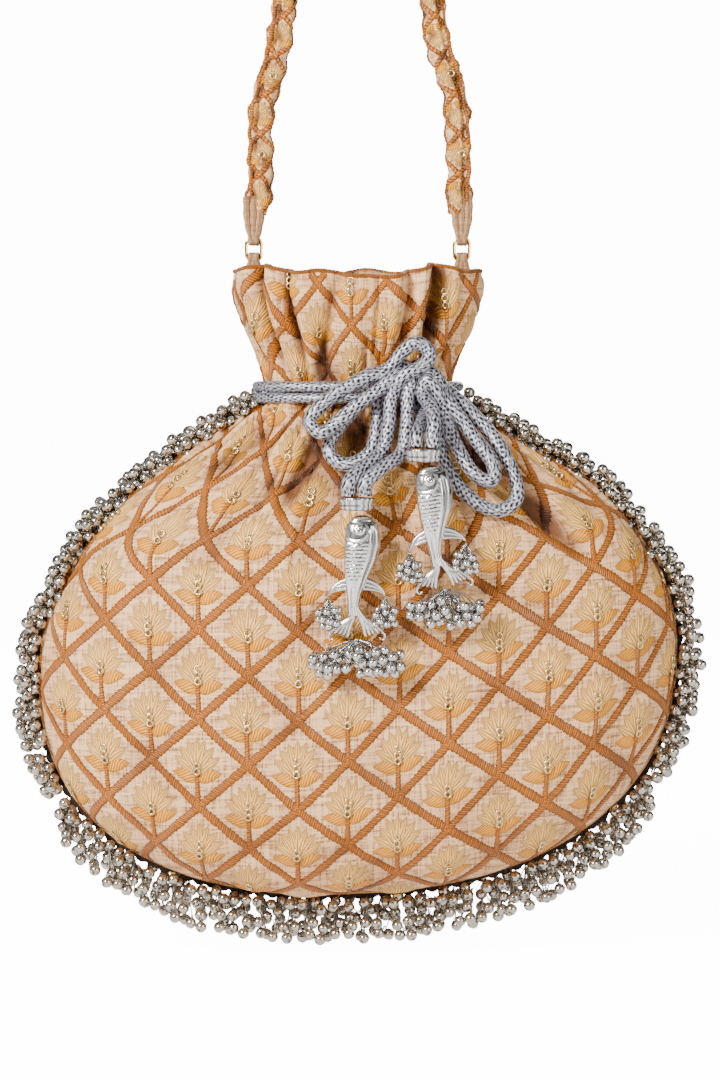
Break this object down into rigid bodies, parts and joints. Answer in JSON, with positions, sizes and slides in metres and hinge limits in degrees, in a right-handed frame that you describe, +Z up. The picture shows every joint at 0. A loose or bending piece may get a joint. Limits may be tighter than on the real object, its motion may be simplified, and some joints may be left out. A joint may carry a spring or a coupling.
{
  "type": "potli bag",
  "caption": "Gathered drawstring pouch bag on a short strap, with a small-bell trim round its seam and two belled fish charms on the tied cord.",
  "frame": {"origin": "the point on the inside of the strap's arch that a hand, arm or hook holds it by", "axes": "+Z up along the hanging strap, front towards -Y, width along X"},
  "size_m": [0.2376, 0.0948, 0.4802],
  "materials": {
    "embroidered_silk": "pale pink-beige slub silk with orange-brown and gold thread embroidery",
    "lining_cotton": "plain cotton",
    "dark_tape": "dark woven tape",
    "antique_silver": "polished antique silver-toned brass bells",
    "cast_silver": "cast silver-toned metal, dark in its hollows",
    "gold_wire": "polished gold-toned wire",
    "silver_mesh_cord": "knitted silver-grey metallic yarn"
  },
  "bodies": {
    "strap": {"strap": "embroidered_silk", "strap_loop_left": "embroidered_silk", "strap_loop_right": "embroidered_silk"},
    "link_left": {"link_left": "gold_wire"},
    "link_right": {"link_right": "gold_wire"},
    "bag": {"front_panel": "embroidered_silk", "back_panel": "embroidered_silk", "lining": "lining_cotton", "trim_tape": "dark_tape", "bell_trim_01": "antique_silver", "bell_trim_02": "antique_silver", "bell_trim_03": "antique_silver", "bell_trim_04": "antique_silver", "bell_trim_05": "antique_silver", "bell_trim_06": "antique_silver", "bell_trim_07": "antique_silver", "bell_trim_08": "antique_silver", "bell_trim_09": "antique_silver", "bell_trim_10": "antique_silver", "bell_trim_11": "antique_silver", "bell_trim_12": "antique_silver", "bell_trim_13": "antique_silver", "bell_trim_14": "antique_silver", "bell_trim_15": "antique_silver", "bell_trim_16": "antique_silver", "bell_trim_17": "antique_silver", "bell_trim_18": "antique_silver", "side_loop_left": "embroidered_silk", "side_loop_right": "embroidered_silk", "cord_cap_1": "cast_silver", "cord_cap_2": "cast_silver", "drawstring_a_left_ear": "silver_mesh_cord", "drawstring_a_right_ear": "silver_mesh_cord", "drawstring_a_left_tail": "silver_mesh_cord", "drawstring_a_right_tail": "silver_mesh_cord", "drawstring_a_turn": "silver_mesh_cord", "drawstring_b_left_ear": "silver_mesh_cord", "drawstring_b_right_ear": "silver_mesh_cord", "drawstring_b_left_tail": "silver_mesh_cord", "drawstring_b_right_tail": "silver_mesh_cord", "drawstring_b_turn": "silver_mesh_cord", "bow_knot": "silver_mesh_cord"},
    "fish_1": {"fish_1": "cast_silver"},
    "fish_1_left_bells": {"fish_1_left_bells": "cast_silver"},
    "fish_1_right_bells": {"fish_1_right_bells": "cast_silver"},
    "fish_1_tail_bells": {"fish_1_tail_bells": "cast_silver"},
    "fish_2": {"fish_2": "cast_silver"},
    "fish_2_left_bells": {"fish_2_left_bells": "cast_silver"},
    "fish_2_right_bells": {"fish_2_right_bells": "cast_silver"},
    "fish_2_tail_bells": {"fish_2_tail_bells": "cast_silver"}
  },
  "joints": [
    {"name": "link_left_swing", "type": "hinge", "parent": "strap", "child": "link_left", "pos_m": [-0.0352, 0, -0.2335], "axis": [1, 0, 0], "range_deg": [-45, 45]},
    {"name": "link_right_swing", "type": "hinge", "parent": "strap", "child": "link_right", "pos_m": [0.035, 0, -0.2335], "axis": [1, 0, 0], "range_deg": [-45, 45]},
    {"name": "bag_swing", "type": "hinge", "parent": "link_left", "child": "bag", "pos_m": [-0.0352, 0, -0.2407], "axis": [1, 0, 0], "range_deg": [-35, 35]},
    {"name": "fish_1_swing", "type": "hinge", "parent": "bag", "child": "fish_1", "pos_m": [-0.0004, -0.0452, -0.325], "axis": [-1, 0, 0], "range_deg": [0, 35]},
    {"name": "fish_1_left_bells_swing", "type": "hinge", "parent": "fish_1", "child": "fish_1_left_bells", "pos_m": [-0.0096, -0.0452, -0.3518], "axis": [-1, 0, 0], "range_deg": [0, 40]},
    {"name": "fish_1_right_bells_swing", "type": "hinge", "parent": "fish_1", "child": "fish_1_right_bells", "pos_m": [0.0088, -0.0452, -0.3518], "axis": [-1, 0, 0], "range_deg": [0, 40]},
    {"name": "fish_1_tail_bells_swing", "type": "hinge", "parent": "fish_1", "child": "fish_1_tail_bells", "pos_m": [-0.0004, -0.0452, -0.3654], "axis": [-1, 0, 0], "range_deg": [0, 40]},
    {"name": "fish_2_swing", "type": "hinge", "parent": "bag", "child": "fish_2", "pos_m": [0.0214, -0.0452, -0.3092], "axis": [-1, 0, 0], "range_deg": [0, 35]},
    {"name": "fish_2_left_bells_swing", "type": "hinge", "parent": "fish_2", "child": "fish_2_left_bells", "pos_m": [0.01699, -0.0452, -0.33719], "axis": [-1, 0, 0], "range_deg": [0, 40]},
    {"name": "fish_2_right_bells_swing", "type": "hinge", "parent": "fish_2", "child": "fish_2_right_bells", "pos_m": [0.03511, -0.0452, -0.334], "axis": [-1, 0, 0], "range_deg": [0, 40]},
    {"name": "fish_2_tail_bells_swing", "type": "hinge", "parent": "fish_2", "child": "fish_2_tail_bells", "pos_m": [0.02842, -0.0452, -0.34899], "axis": [-1, 0, 0], "range_deg": [0, 40]}
  ],
  "couplings": [
    {"joint": "link_right_swing", "follows": "link_left_swing", "ratio": 1}
  ]
}
